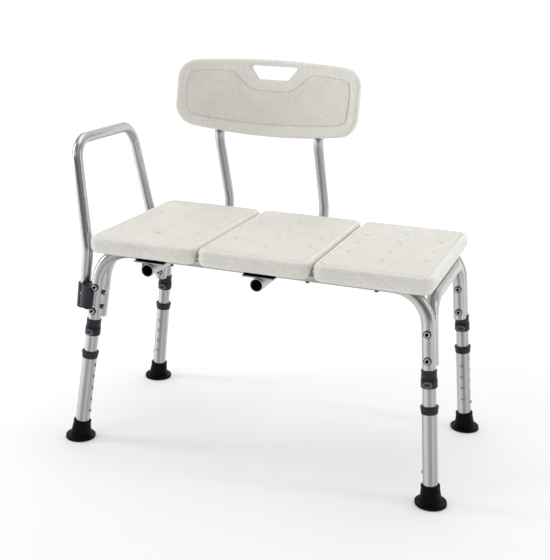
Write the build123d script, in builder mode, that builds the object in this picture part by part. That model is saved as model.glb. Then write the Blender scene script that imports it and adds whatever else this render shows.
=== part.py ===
"""Bath transfer bench: three moulded seat panels on a bent tube frame, four splayed
telescopic legs that pull off by a push-button, a lift-off armrest and a slide-out backrest.

Millimetres. The origin is on the floor, midway between the four feet and under the middle of
the seat. +X runs along the bench, from the armrest end to the open end, +Y from the front of the
seat to the backrest, +Z up.
"""

import os
from math import atan, cos, degrees, radians, sin, tan

from build123d import *

os.makedirs("parts", exist_ok=True)

# ---------------------------------------------------------------- driving dimensions

# tubes: outside radius and wall
FRAME_R = 12.7
FRAME_BORE_R = 11.4
LEG_R = 14.3
LEG_BORE_R = 13.0
POST_R = 11.1
POST_BORE_R = 9.9

# the frame: where rail and leg centre lines meet, and where the legs meet the floor
RAIL_X, RAIL_Y, RAIL_Z = 330.0, 164.0, 407.0
FOOT_X, FOOT_Y = 369.0, 184.0
RAIL_BEND = 72.0
RAIL_JOINT_X = 117.0
SWAGE_LENGTH = 45.0
CROSS_Z = 384.0
CROSS_BEND = 44.0

# heights along a leg's own axis, measured from the floor
BUTTON_S = 63.0
HOLE_PITCH = 25.4
HOLE_COUNT = 5
LOWER_TUBE_START, LOWER_TUBE_END = 7.0, 189.5
COLLAR_START, COLLAR_END = 178.5, 193.0
MIDDLE_TUBE_START = 46.0
UPPER_TUBE_START = 228.5
LATCH_S = 236.5
RING_END = 244.0
SLEEVE_START, SLEEVE_END = 245.2, 262.5
SPIGOT_END = 272.0
CROSS_END = 264.0
BOLT_S = (281.0, 331.0)
BRACKET_BOLT_S = (291.0, 321.0)
BOLT_HOLE_R = 3.2
RING_R, SLEEVE_R, COLLAR_R = 15.5, 14.7, 17.2
# how far out a release button's underside rests: fully pressed, it still clears the tube
BUTTON_SEAT = 15.0
SCREW_R, SCREW_HOLE_R = 2.1, 2.2
RAIL_SCREW_X = RAIL_JOINT_X - 13

# seat panels
PANEL_W, PANEL_D = 224.0, 384.0
PANEL_PITCH = 230.0
PANEL_BOTTOM, RIM_TOP, SEAT_TOP = 402.0, 435.0, 436.2
PANEL_CORNER = 20.0
RIM_WIDTH = 9.5
DRAIN_X, DRAIN_Y = 76.0, 72.0

# backrest
BACK_X = -103.0
BACK_HALF_W = 204.0
BACK_LOW, BACK_HIGH = 600.0, 762.5
BACK_LOW_RISE, BACK_HIGH_DROP = 15.5, 14.5
BACK_CORNER = 44.0
BACK_RADIUS = 452.0
BACK_THICK = 24.0
BACK_Y, BACK_Z = 183.0, 650.0
BACK_LEAN = degrees(atan(0.175))
POST_SPREAD = 113.0
POST_TIP_Z = 690.0
RECEIVER_Z = 379.7
RECEIVER_FRONT, RECEIVER_REAR = -184.0, 196.0
PLATE_TOP = RAIL_Z - FRAME_R
PLATE_W, PLATE_D, PLATE_T = 65.0, 30.0, 2.5

# armrest
ARM_Y = 147.0
ARM_ELBOW_X, ARM_ELBOW_Z = -366.0, 395.0
ARM_TOP_X, ARM_TOP_Y, ARM_TOP_Z = -404.5, 120.0, 609.0
SOCKET_LOW, SOCKET_HIGH = 275.0, 325.0
SOCKET_R = 14.6
WING_HALF_T, WING_HALF_H = 12.0, 23.0
SADDLE_EDGE_X, SADDLE_HALF_W = -2.0, 16.6

# clearances
SLIDE_GAP = 0.3
FIT_GAP = 0.05

LEG_SIDES = {"front_left": (-1, -1), "front_right": (1, -1), "rear_left": (-1, 1), "rear_right": (1, 1)}
RAIL_CORNERS = {name: (sx * RAIL_X, sy * RAIL_Y) for name, (sx, sy) in LEG_SIDES.items()}
FEET = {name: (sx * FOOT_X, sy * FOOT_Y) for name, (sx, sy) in LEG_SIDES.items()}
# the front left leg splays a little more than the others
RAIL_CORNERS["front_left"] = (-324.0, -RAIL_Y)
FEET["front_left"] = (-371.0, -FOOT_Y)
PANEL_CENTRES = {"left": -PANEL_PITCH, "middle": 0.0, "right": PANEL_PITCH}
RECEIVER_CENTRES = {"left": BACK_X - POST_SPREAD, "right": BACK_X + POST_SPREAD}
PANEL_SCREW_X = {
    "left": [RECEIVER_CENTRES["left"] - 25, RECEIVER_CENTRES["left"] + 25],
    "middle": [RECEIVER_CENTRES["right"] - 25, RECEIVER_CENTRES["right"] + 25],
    "right": [236.0],
}


# ---------------------------------------------------------------- shared helpers


def save(part, name):
    """Label a finished piece and write it to its own STEP file."""
    part.label = name
    export_step(part, f"parts/{name}.step")


def leg_plane(name):
    """A plane at a foot: z up the leg's axis, x along the bench, y towards the back."""
    foot = Vector(*FEET[name], 0)
    up = Vector(*RAIL_CORNERS[name], RAIL_Z) - foot
    return Plane(origin=foot, x_dir=(up.Z, 0, -up.X), z_dir=up)


def across(plane, axial, direction):
    """A plane square to a leg: its z points along a direction given in the leg's own frame."""
    normal = plane.from_local_coords(Vector(*direction)) - plane.origin
    return Plane(origin=plane.from_local_coords((0, 0, axial)), x_dir=plane.z_dir, z_dir=normal)


def drill(plane, radius, start, end):
    """Cut a round hole along a plane's normal, from one depth to the other."""
    with BuildSketch(plane.offset(start)) as hole:
        Circle(radius)
    extrude(hole.sketch, amount=end - start, mode=Mode.SUBTRACT)


def bent_tube(points, radii, outer, inner):
    """A round tube along straight runs joined by tangent bends."""
    with BuildPart() as tube:
        with BuildLine() as path:
            FilletPolyline(*points, radius=radii)
        with BuildSketch(Plane(origin=path.line @ 0, z_dir=path.line % 0)):
            Circle(outer)
            Circle(inner, mode=Mode.SUBTRACT)
        sweep()
    return tube.part


def snap_clip(plane, bore_radius, pin_radius, pin_reach):
    """A folded leaf spring with a domed pin. Plane: x along the tube, z along the pin."""
    arm = bore_radius - 1.0
    with BuildPart() as clip:
        with BuildSketch(Plane(origin=plane.origin, x_dir=plane.x_dir, z_dir=plane.y_dir)):
            with BuildLine():
                FilletPolyline((-7, -arm), (8, -arm), (30, 0), (8, arm), (-7, arm), radius=3)
            trace(line_width=0.8)
        extrude(amount=3.2, both=True)
        with BuildSketch(plane.offset(arm)):
            Circle(pin_radius)
        extrude(amount=pin_reach - arm)
        fillet(clip.faces().sort_by(Axis(plane.origin, plane.z_dir))[-1].edges(), pin_radius * 0.6)
    return clip.part


LEG_PLANES = {name: leg_plane(name) for name in LEG_SIDES}


def cross_plane(name):
    """The leg's plane moved sideways onto the cross tube's end, which stands against the leg."""
    plane, inward = LEG_PLANES[name], -LEG_SIDES[name][1]
    shift = inward * (2 * FRAME_R + 0.1)
    return Plane(origin=plane.from_local_coords((0, shift, 0)), x_dir=plane.x_dir, z_dir=plane.z_dir)


# ---------------------------------------------------------------- frame tubes: leg and half rail


for name, (sx, sy) in LEG_SIDES.items():
    plane = LEG_PLANES[name]
    joint_end = RAIL_JOINT_X + (SLIDE_GAP if sx > 0 else 0)
    route = [
        plane.from_local_coords((0, 0, UPPER_TUBE_START)),
        (*RAIL_CORNERS[name], RAIL_Z),
        (joint_end, sy * RAIL_Y, RAIL_Z),
    ]
    with BuildPart() as frame_tube:
        add(bent_tube(route, RAIL_BEND, FRAME_R, FRAME_BORE_R))
        if sx > 0:
            # the right half's end is swaged down to plug into the left half
            swage = Plane(origin=(joint_end + 3, sy * RAIL_Y, RAIL_Z), z_dir=(-1, 0, 0))
            with BuildSketch(swage):
                Circle(FRAME_BORE_R - FIT_GAP)
                Circle(FRAME_BORE_R - FIT_GAP - 1.3, mode=Mode.SUBTRACT)
            extrude(amount=SWAGE_LENGTH + 3)
            with BuildSketch(swage):
                Circle(FRAME_BORE_R)
                Circle(FRAME_BORE_R - FIT_GAP - 1.3, mode=Mode.SUBTRACT)
            extrude(amount=3)
        for axial in BOLT_S:
            drill(across(plane, axial, (0, 1, 0)), BOLT_HOLE_R, -20, 20)
        drill(across(plane, LATCH_S, (0, -1, 0)), 4.0, 0, 20)
        if sx < 0:
            for axial in BRACKET_BOLT_S:
                drill(across(plane, axial, (1, 0, 0)), BOLT_HOLE_R, -20, 20)
        screws = [x for xs in PANEL_SCREW_X.values() for x in xs]
        on_this_half = [x for x in screws if (x > RAIL_JOINT_X) == (sx > 0)]
        for x in on_this_half:
            drill(Plane(origin=(x, sy * RAIL_Y, RAIL_Z)), SCREW_HOLE_R, -20, 20)
        drill(Plane(origin=(RAIL_SCREW_X, sy * RAIL_Y, RAIL_Z)), SCREW_R, -20, -5)
    save(frame_tube.part, f"{name}_frame_tube")

for side in ("left", "right"):
    ends = [cross_plane(f"{end}_{side}") for end in ("front", "rear")]
    # where each end's axis reaches the height of the cross bar
    corners = []
    for end in ends:
        reach = CROSS_Z / end.z_dir.Z
        corners.append(end.from_local_coords((0, 0, reach)))
    route = [
        ends[0].from_local_coords((0, 0, CROSS_END)),
        corners[0],
        corners[1],
        ends[1].from_local_coords((0, 0, CROSS_END)),
    ]
    with BuildPart() as cross_tube:
        add(bent_tube(route, CROSS_BEND, FRAME_R, FRAME_BORE_R))
        for end in ends:
            for axial in BOLT_S:
                drill(across(end, axial, (0, 1, 0)), BOLT_HOLE_R, -20, 20)
    save(cross_tube.part, f"{side}_cross_tube")

# ---------------------------------------------------------------- frame fasteners

BOLT_HEAD_R, BOLT_R, NUT_R = 5.6, 3.0, 5.4
WASHER_R, WASHER_T = 7.6, 2.0
SCREW_HEAD_R = 4.2


def bolt(plane, start, end):
    """A button-head bolt: shank from start to end along the plane's normal, head below start."""
    with BuildPart() as piece:
        with BuildSketch(plane.offset(start)):
            Circle(BOLT_R)
        extrude(amount=end - start)
        with BuildSketch(plane.offset(start)):
            Circle(BOLT_HEAD_R)
        extrude(amount=-3.2)
        fillet(piece.faces().sort_by(Axis(plane.origin, plane.z_dir))[0].edges(), 2.0)
        with BuildSketch(plane.offset(start - 3.2)):
            RegularPolygon(2.2, 6)
        extrude(amount=2.0, mode=Mode.SUBTRACT)
    return piece.part


def nut(plane, start):
    """A hexagon nut round a bolt, standing on the plane offset by start."""
    with BuildPart() as piece:
        with BuildSketch(plane.offset(start)):
            RegularPolygon(NUT_R, 6)
            Circle(BOLT_R, mode=Mode.SUBTRACT)
        extrude(amount=4.6)
    return piece.part


def saddle_washer(plane, seat):
    """A dished washer with its underside shaped to a tube of the frame's radius."""
    with BuildPart() as piece:
        with BuildSketch(plane.offset(-seat - WASHER_T)):
            Circle(WASHER_R)
        extrude(amount=WASHER_T + 3)
        fillet(piece.faces().sort_by(Axis(plane.origin, plane.z_dir))[0].edges(), 1.2)
        with BuildSketch(plane.offset(-seat - WASHER_T)):
            Circle(BOLT_HEAD_R + 0.3)
        extrude(amount=0.8, mode=Mode.SUBTRACT)
        with BuildSketch(plane.offset(-seat - WASHER_T)):
            Circle(BOLT_R)
        extrude(amount=WASHER_T + 3, mode=Mode.SUBTRACT)
        with BuildSketch(Plane(origin=plane.origin - plane.x_dir * 20, z_dir=plane.x_dir)):
            Circle(FRAME_R)
        extrude(amount=40, mode=Mode.SUBTRACT)
    return piece.part


bolts, washers, nuts, bracket_bolts = [], [], [], []
for name, (sx, sy) in LEG_SIDES.items():
    plane = LEG_PLANES[name]
    pair = 2 * FRAME_R + 0.1
    # the front-most tube of the pair is the leg at the front, the cross tube at the rear
    front = 0.0 if sy < 0 else -pair
    for axial in BOLT_S:
        line = across(plane, axial, (0, 1, 0))
        head = front - FRAME_R - WASHER_T + 0.8
        tail = front + pair + FRAME_R
        bolts.append(bolt(line, head, tail + 6.5))
        nuts.append(nut(line, tail))
        washers.append(saddle_washer(line.offset(front), FRAME_R))
    if sx < 0:
        for axial in BRACKET_BOLT_S:
            line = across(plane, axial, (1, 0, 0))
            bracket_bolts.append(bolt(line, -FRAME_R - 4.0, FRAME_R + 6.0))
            nuts.append(nut(line, FRAME_R))
save(Compound(children=bolts), "frame_bolts")
save(Compound(children=washers), "saddle_washers")
save(Compound(children=nuts), "frame_nuts")
save(Compound(children=bracket_bolts), "bracket_bolts")


def pan_screw(seat, length):
    """A pan-head screw: the shank runs along the seat's normal, the head stands behind it."""
    with BuildPart() as piece:
        with BuildSketch(seat):
            Circle(SCREW_R)
        extrude(amount=length)
        with BuildSketch(seat):
            Circle(SCREW_HEAD_R)
        extrude(amount=-2.6)
        fillet(piece.faces().sort_by(Axis(seat.origin, seat.z_dir))[0].edges(), 1.4)
    return piece.part


SCREW_TIP = 430.0
screws = []
for y in (-RAIL_Y, RAIL_Y):
    for panel, xs in PANEL_SCREW_X.items():
        low = PLATE_TOP if panel == "right" else PLATE_TOP - PLATE_T
        screws += [pan_screw(Plane(origin=(x, y, low)), SCREW_TIP - low) for x in xs]
    screws.append(pan_screw(Plane(origin=(RAIL_SCREW_X, y, PLATE_TOP)), 8))
save(Compound(children=screws), "pan_head_screws")

# ---------------------------------------------------------------- seat panels


def seat_panel(centre_x, screw_xs):
    """A hollow blow-moulded panel: rolled rim, raised field, drain holes, grooves for the rails."""
    drains = [(0, (row - 1.5) * DRAIN_Y) for row in range(4)]
    drains += [(side * DRAIN_X, (row - 1) * DRAIN_Y) for side in (-1, 1) for row in range(3)]
    base = Plane(origin=(centre_x, 0, PANEL_BOTTOM))
    with BuildPart() as cavity:
        with BuildSketch(base.offset(2.6)):
            Rectangle(PANEL_W - 16, 292)
        extrude(amount=RIM_TOP - PANEL_BOTTOM - 5.2)
        with BuildSketch(base.offset(21)):
            Rectangle(PANEL_W - 24, PANEL_D - 24)
            for y in (-RAIL_Y, RAIL_Y):
                with Locations(*[(x - centre_x, y) for x in screw_xs]):
                    Circle(7, mode=Mode.SUBTRACT)
        extrude(amount=RIM_TOP - PANEL_BOTTOM - 23.6)
        with BuildSketch(base):
            with Locations(*drains):
                Circle(10)
        extrude(amount=40, mode=Mode.SUBTRACT)
    with BuildPart() as panel:
        with BuildSketch(base):
            RectangleRounded(PANEL_W, PANEL_D, PANEL_CORNER)
        extrude(amount=RIM_TOP - PANEL_BOTTOM)
        fillet(panel.faces().sort_by(Axis.Z)[0].edges(), 12)
        fillet(panel.faces().sort_by(Axis.Z)[-1].edges(), 8)
        with BuildSketch(base.offset(RIM_TOP - PANEL_BOTTOM)):
            RectangleRounded(PANEL_W - 2 * RIM_WIDTH, PANEL_D - 2 * RIM_WIDTH, PANEL_CORNER - 6)
        extrude(amount=SEAT_TOP - RIM_TOP, taper=30)
        for y in (-RAIL_Y, RAIL_Y):
            groove = RAIL_X - 12 if centre_x else PANEL_W
            low, high = max(centre_x - PANEL_W, -groove), min(centre_x + PANEL_W, groove)
            with BuildSketch(Plane(origin=(low, y, RAIL_Z), x_dir=(0, 1, 0), z_dir=(1, 0, 0))):
                Circle(FRAME_R + SLIDE_GAP)
                with Locations((0, -8)):
                    Rectangle(2 * (FRAME_R + SLIDE_GAP), 16)
            extrude(amount=high - low, mode=Mode.SUBTRACT)
            with BuildSketch(Plane.XY.offset(PANEL_BOTTOM)):
                with Locations(*[(x, y) for x in screw_xs]):
                    Circle(SCREW_R)
            extrude(amount=SCREW_TIP - PANEL_BOTTOM, mode=Mode.SUBTRACT)
        add(cavity.part, mode=Mode.SUBTRACT)
        with BuildSketch(base):
            with Locations(*drains):
                Circle(2.6)
        extrude(amount=40, mode=Mode.SUBTRACT)
        for x, y in drains:
            dish = Plane(origin=(centre_x + x, y, SEAT_TOP - 2.6))
            with BuildSketch(dish):
                Circle(4.0)
            with BuildSketch(dish.offset(2.7)):
                Circle(8.0)
            loft(mode=Mode.SUBTRACT)
    return panel.part


for side, centre_x in PANEL_CENTRES.items():
    save(seat_panel(centre_x, PANEL_SCREW_X[side]), f"{side}_seat_panel")

# ---------------------------------------------------------------- legs


def ring_on_leg(plane, profile):
    """A turned piece on a leg: a closed outline of (radius, height) spun about the leg's axis."""
    with BuildPart() as piece:
        with BuildSketch(Plane(origin=plane.origin, x_dir=plane.x_dir, z_dir=-plane.y_dir)):
            Polygon(*profile, align=None)
        revolve(axis=Axis(plane.origin, plane.z_dir))
    return piece.part


sleeves = []
for name, (sx, sy) in LEG_SIDES.items():
    plane = LEG_PLANES[name]
    press = across(plane, LATCH_S, (0, -1, 0))
    # the front legs' height buttons face each other, and the rear legs' face outwards
    button_x = {"front_left": 1, "front_right": -1, "rear_left": -1, "rear_right": 1}[name]
    button = across(plane, BUTTON_S, (button_x, 0, 0))
    back_row = across(plane, BUTTON_S + HOLE_PITCH / 2, (0, -sy, 0))

    sleeve_profile = [
        (FRAME_R, SLEEVE_START),
        (SLEEVE_R, SLEEVE_START),
        (SLEEVE_R, SLEEVE_END - 1.2),
        (SLEEVE_R - 0.7, SLEEVE_END),
        (FRAME_R, SLEEVE_END),
    ]
    sleeves.append(ring_on_leg(plane, sleeve_profile))

    with BuildPart() as ring:
        with BuildSketch(plane.offset(UPPER_TUBE_START)):
            Circle(RING_R)
        extrude(amount=RING_END - UPPER_TUBE_START)
        chamfer(ring.faces().sort_by(Axis(plane.origin, plane.z_dir))[0].edges(), 1.2)
        # a raised pad round the button
        with BuildSketch(press):
            Ellipse(5.9, 8.4)
        extrude(amount=RING_R + 0.8)
        with BuildSketch(plane.offset(UPPER_TUBE_START)):
            Circle(FRAME_R)
        extrude(amount=RING_END - UPPER_TUBE_START, mode=Mode.SUBTRACT)
        with BuildSketch(press):
            Ellipse(4.2, 6.6)
        extrude(amount=20, mode=Mode.SUBTRACT)
    save(ring.part, f"{name}_release_ring")

    with BuildPart() as release:
        with BuildSketch(press.offset(BUTTON_SEAT)):
            Ellipse(3.9, 6.3)
        extrude(amount=1.7)
        fillet(release.faces().sort_by(Axis(press.origin, press.z_dir))[-1].edges(), 0.8)
        with BuildSketch(press.offset(13.1)):
            Circle(2.8)
        extrude(amount=BUTTON_SEAT - 13.1)
    save(release.part, f"{name}_release_button")

    middle_profile = [
        (FRAME_BORE_R, MIDDLE_TUBE_START),
        (FRAME_R, MIDDLE_TUBE_START),
        (FRAME_R, UPPER_TUBE_START - SLIDE_GAP),
        (POST_R, UPPER_TUBE_START - SLIDE_GAP),
        (POST_R, SPIGOT_END),
        (POST_BORE_R, SPIGOT_END),
        (POST_BORE_R, UPPER_TUBE_START - 4),
        (FRAME_BORE_R, UPPER_TUBE_START - 6),
    ]
    with BuildPart() as middle:
        add(ring_on_leg(plane, middle_profile))
        drill(press, 3.6, 0, 15)
        drill(button, 3.6, 0, 15)
    save(middle.part, f"{name}_middle_tube")

    save(snap_clip(press, POST_BORE_R, 3.4, 12.9), f"{name}_latch_clip")
    save(snap_clip(button, FRAME_BORE_R, 3.4, LEG_R + 2.4), f"{name}_height_clip")

    with BuildPart() as lower:
        with BuildSketch(plane.offset(LOWER_TUBE_START)):
            Circle(LEG_R)
            Circle(LEG_BORE_R, mode=Mode.SUBTRACT)
        extrude(amount=LOWER_TUBE_END - LOWER_TUBE_START)
        for step in range(HOLE_COUNT):
            lift = button.x_dir * (step * HOLE_PITCH)
            drill(Plane(button.origin + lift, x_dir=button.x_dir, z_dir=button.z_dir), 3.7, 5, 20)
        for step in range(HOLE_COUNT - 1):
            lift = back_row.x_dir * (step * HOLE_PITCH)
            drill(Plane(back_row.origin + lift, x_dir=back_row.x_dir, z_dir=back_row.z_dir), 3.7, 5, 20)
    save(lower.part, f"{name}_lower_tube")

    collar_profile = [
        (LEG_R, COLLAR_START),
        (15.6, COLLAR_START),
        (16.2, COLLAR_START + 1.5),
        (COLLAR_R - 0.3, COLLAR_END - 4),
        (COLLAR_R, COLLAR_END - 1.0),
        (COLLAR_R - 0.8, COLLAR_END),
        (FRAME_R + SLIDE_GAP, COLLAR_END),
        (FRAME_R + SLIDE_GAP, LOWER_TUBE_END),
        (LEG_R, LOWER_TUBE_END),
    ]
    save(ring_on_leg(plane, collar_profile), f"{name}_collar")

    # the boot's body follows the leg, and its base lies flat on the floor
    boot_profile = [
        (0, -8),
        (21.5, -8),
        (21.0, 10),
        (19.4, 16),
        (17.3, 33),
        (17.8, 36),
        (17.8, 38.2),
        (17.2, 39),
        (16.0, 39),
        (LEG_R, 37.5),
        (LEG_R, LOWER_TUBE_START),
        (0, LOWER_TUBE_START),
    ]
    with BuildPart() as boot:
        add(ring_on_leg(plane, boot_profile))
        with BuildSketch(Plane(origin=(plane.origin.X, plane.origin.Y, -20))):
            Circle(60)
        extrude(amount=20, mode=Mode.SUBTRACT)
        with BuildSketch(Plane(origin=plane.origin, x_dir=(1, 0, 0), z_dir=(0, -1, 0))):
            with BuildLine():
                Polyline((0, 3.8), (0, 0), (29.3, 0))
                ThreePointArc((29.3, 0), (30.4, 1.6), (30.2, 3.8))
                Polyline((30.2, 3.8), (28.4, 6.6), (21.5, 9.2), (17, 4.2), (0, 3.8))
            make_face()
        revolve(axis=Axis((plane.origin.X, plane.origin.Y, 0), (0, 0, 1)))
        with BuildSketch(Plane(origin=(plane.origin.X, plane.origin.Y, 0))):
            for groove_r in (12, 19, 26):
                Circle(groove_r + 1.2)
                Circle(groove_r - 1.2, mode=Mode.SUBTRACT)
        extrude(amount=1.5, mode=Mode.SUBTRACT)
    save(boot.part, f"{name}_boot")
save(Compound(children=sleeves), "leg_sleeves")

# ---------------------------------------------------------------- armrest and its brackets

# the sockets lean like the legs do along the bench, so both posts leave them in one direction
ARM_UP = Vector(FOOT_X - RAIL_X, 0, RAIL_Z).normalized()
ARM_BENDS = [60, 46, 46, 60]


def socket_plane(sy):
    """A plane on a socket's axis at its low end: z up the socket, x along the bench."""
    elbow = Vector(ARM_ELBOW_X, sy * ARM_Y, ARM_ELBOW_Z)
    low = elbow - ARM_UP * ((ARM_ELBOW_Z - SOCKET_LOW) / ARM_UP.Z)
    return Plane(origin=low, x_dir=(ARM_UP.Z, 0, -ARM_UP.X), z_dir=ARM_UP)


SOCKET_LENGTH = (SOCKET_HIGH - SOCKET_LOW) / ARM_UP.Z
ARM_BUTTON = SOCKET_LENGTH * 0.62

arm_route = []
for sy in (-1, 1):
    post = [
        socket_plane(sy).from_local_coords((0, 0, 6)),
        Vector(ARM_ELBOW_X, sy * ARM_Y, ARM_ELBOW_Z),
        Vector(ARM_TOP_X, sy * ARM_TOP_Y, ARM_TOP_Z),
    ]
    arm_route += post if sy < 0 else post[::-1]

with BuildPart() as armrest:
    add(bent_tube(arm_route, ARM_BENDS, POST_R, POST_BORE_R))
    for sy in (-1, 1):
        socket = socket_plane(sy)
        drill(across(socket, ARM_BUTTON, (0, -1, 0)), 3.6, 0, 15)
save(armrest.part, "armrest_tube")

for end, sy in (("front", -1), ("rear", 1)):
    socket = socket_plane(sy)
    leg = LEG_PLANES[f"{end}_left"]
    press = across(socket, ARM_BUTTON, (0, -1, 0))
    save(snap_clip(press, POST_BORE_R, 3.3, SOCKET_R + 1.6), f"{end}_armrest_clip")

    # on the leg's own cross-section: where the socket stands, seen down the leg
    middle_s = (BRACKET_BOLT_S[0] + BRACKET_BOLT_S[1]) / 2
    low = leg.to_local_coords(socket.origin)
    seen = leg.to_local_coords(socket.from_local_coords((0, 0, middle_s - low.Z)))
    with BuildPart() as bracket:
        with BuildSketch(socket):
            Circle(SOCKET_R)
        extrude(amount=SOCKET_LENGTH)
        # the wing: a concave web from the socket to a saddle on the leg's outer side
        with BuildSketch(leg.offset(middle_s)):
            with BuildLine():
                Polyline(
                    (seen.X, seen.Y - WING_HALF_T),
                    (seen.X, seen.Y + WING_HALF_T),
                    (-14, 14),
                    (SADDLE_EDGE_X, SADDLE_HALF_W),
                    (SADDLE_EDGE_X, -SADDLE_HALF_W),
                )
                ThreePointArc(
                    (SADDLE_EDGE_X, -SADDLE_HALF_W),
                    (-19, -15.5 if sy < 0 else -14),
                    (seen.X, seen.Y - WING_HALF_T),
                )
            make_face()
        extrude(amount=WING_HALF_H, both=True)
        with BuildSketch(leg):
            Circle(FRAME_R)
        extrude(amount=400, mode=Mode.SUBTRACT)
        cross = cross_plane(f"{end}_left")
        with BuildSketch(cross):
            Circle(FRAME_R + 0.4)
        extrude(amount=400, mode=Mode.SUBTRACT)
        # room for the washers of the leg's own bolts
        for axial in BOLT_S:
            line = across(leg, axial, (0, 1, 0))
            with BuildSketch(line.offset(-40)):
                Circle(WASHER_R + 1.2)
            extrude(amount=80, mode=Mode.SUBTRACT)
        for axial in BRACKET_BOLT_S:
            line = across(leg, axial, (1, 0, 0))
            with BuildSketch(line.offset(-FRAME_R - 4.0)):
                Circle(BOLT_HEAD_R + 0.5)
            extrude(amount=-60, mode=Mode.SUBTRACT)
            drill(line, BOLT_HOLE_R, -FRAME_R - 5.0, 0)
        with BuildSketch(socket.offset(-30)):
            Circle(POST_R + SLIDE_GAP)
        extrude(amount=SOCKET_LENGTH + 60, mode=Mode.SUBTRACT)
        drill(press, 3.6, 0, 30)
    save(bracket.part, f"{end}_armrest_bracket")

# ---------------------------------------------------------------- backrest receivers and posts


def lean_y(z):
    """The post's centre line inside the backrest, which leans back with it."""
    return 175.5 + (z - 604.0) * tan(radians(BACK_LEAN))


POST_STEM_Y = 240.0
POST_KNEE_Z, POST_NECK_Z = 445.0, 593.5
CLIP_Y = 150.0
BACK_SCREW_Z = 645.0

def back_screw_plane(x):
    """On a post's axis, facing forwards and square to the backrest's lean."""
    lean = radians(BACK_LEAN)
    facing = (0, -cos(lean), sin(lean))
    return Plane(origin=(x, lean_y(BACK_SCREW_Z), BACK_SCREW_Z), x_dir=(1, 0, 0), z_dir=facing)


for side, x in RECEIVER_CENTRES.items():
    with BuildPart() as receiver:
        with BuildSketch(Plane(origin=(x, RECEIVER_FRONT, RECEIVER_Z), z_dir=(0, 1, 0))):
            Circle(FRAME_R)
        extrude(amount=RECEIVER_REAR - RECEIVER_FRONT)
        for y in (-RAIL_Y, RAIL_Y):
            with BuildSketch(Plane(origin=(x, y, PLATE_TOP - PLATE_T))):
                RectangleRounded(PLATE_W, PLATE_D, 3)
            extrude(amount=PLATE_T)
        with BuildSketch(Plane(origin=(x, RECEIVER_FRONT, RECEIVER_Z), z_dir=(0, 1, 0))):
            Circle(FRAME_BORE_R)
        extrude(amount=RECEIVER_REAR - RECEIVER_FRONT, mode=Mode.SUBTRACT)
        for y in (-RAIL_Y, RAIL_Y):
            for dx in (-25, 25):
                drill(Plane(origin=(x + dx, y, PLATE_TOP)), SCREW_HOLE_R, -4, 1)
        drill(Plane(origin=(x, CLIP_Y, RECEIVER_Z), x_dir=(0, 1, 0), z_dir=(0, 0, -1)), 3.6, 5, 15)
    save(receiver.part, f"{side}_backrest_receiver")

    route = [
        (x, 25, RECEIVER_Z),
        (x, POST_STEM_Y, RECEIVER_Z),
        (x, POST_STEM_Y, POST_KNEE_Z),
        (x, lean_y(POST_NECK_Z), POST_NECK_Z),
        (x, lean_y(POST_TIP_Z), POST_TIP_Z),
    ]
    with BuildPart() as post:
        add(bent_tube(route, [40, 60, 38], POST_R, POST_BORE_R))
        pin = Plane(origin=(x, CLIP_Y, RECEIVER_Z), x_dir=(0, 1, 0), z_dir=(0, 0, -1))
        drill(pin, 3.5, 0, 15)
        drill(back_screw_plane(x), SCREW_HOLE_R, -20, -5)
    save(post.part, f"{side}_backrest_post")
    save(snap_clip(pin, POST_BORE_R, 3.3, FRAME_R + 2.2), f"{side}_backrest_clip")

# ---------------------------------------------------------------- backrest

# a plane in the middle of the backrest's front face: x along the bench, y up the backrest
FACE = Plane(
    origin=(BACK_X, BACK_Y, BACK_Z),
    x_dir=(1, 0, 0),
    z_dir=(0, -cos(radians(BACK_LEAN)), sin(radians(BACK_LEAN))),
)
UP_SCALE = 1 / cos(radians(BACK_LEAN))


def up_face(z):
    """A height above the floor, turned into a distance up the leaning face."""
    return (z - BACK_Z) * UP_SCALE


def curved_slab(front, thickness, top, bottom):
    """Part of a ring, concave towards the front, that runs up the backrest's lean."""
    centre = FACE.from_local_coords((0, bottom, BACK_RADIUS))
    ring_plane = Plane(origin=centre, x_dir=(1, 0, 0), z_dir=FACE.y_dir)
    with BuildPart() as slab:
        with BuildSketch(ring_plane):
            Circle(BACK_RADIUS + front + thickness)
            Circle(BACK_RADIUS + front, mode=Mode.SUBTRACT)
            with Locations((0, -BACK_RADIUS)):
                Rectangle(3 * BACK_RADIUS, 2 * BACK_RADIUS, mode=Mode.SUBTRACT)
        extrude(amount=top - bottom)
    return slab.part


def back_outline(inset):
    """The backrest's outline on its front plane: arched top and bottom, rounded corners."""
    half = BACK_HALF_W - inset
    low, high = up_face(BACK_LOW) + inset, up_face(BACK_HIGH) - inset
    low_end, high_end = low + BACK_LOW_RISE, high - BACK_HIGH_DROP
    with BuildSketch(FACE) as outline:
        with BuildLine():
            ThreePointArc((-half, low_end), (0, low), (half, low_end))
            Line((half, low_end), (half, high_end))
            ThreePointArc((half, high_end), (0, high), (-half, high_end))
            Line((-half, high_end), (-half, low_end))
        make_face()
        fillet(outline.vertices(), BACK_CORNER - inset)
    return outline.sketch


def handle_slot(grow):
    """The carrying slot: wider at the top than at the bottom."""
    with BuildSketch(FACE) as slot:
        top, bottom = up_face(747.5) + grow, up_face(720.5) - grow
        Polygon(
            (-52 - grow, top), (52 + grow, top), (30 + grow, bottom), (-30 - grow, bottom), align=None
        )
        fillet(slot.vertices(), 5 + grow * 0.5)
    return slot.sketch


def through(sketch):
    """A flat outline run through the backrest from front to back."""
    with BuildPart() as form:
        extrude(sketch, amount=90, both=True)
    return form.part


def post_rods(radius, low, high, domed=False):
    """A round rod along each post's axis inside the backrest, between two heights."""
    with BuildPart() as rods:
        for x in RECEIVER_CENTRES.values():
            with BuildSketch(Plane(origin=(x, lean_y(low), low), z_dir=FACE.y_dir)):
                Circle(radius)
            extrude(amount=(high - low) * UP_SCALE)
            if domed:
                with Locations((x, lean_y(high), high)):
                    Sphere(radius)
    return rods.part


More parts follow.
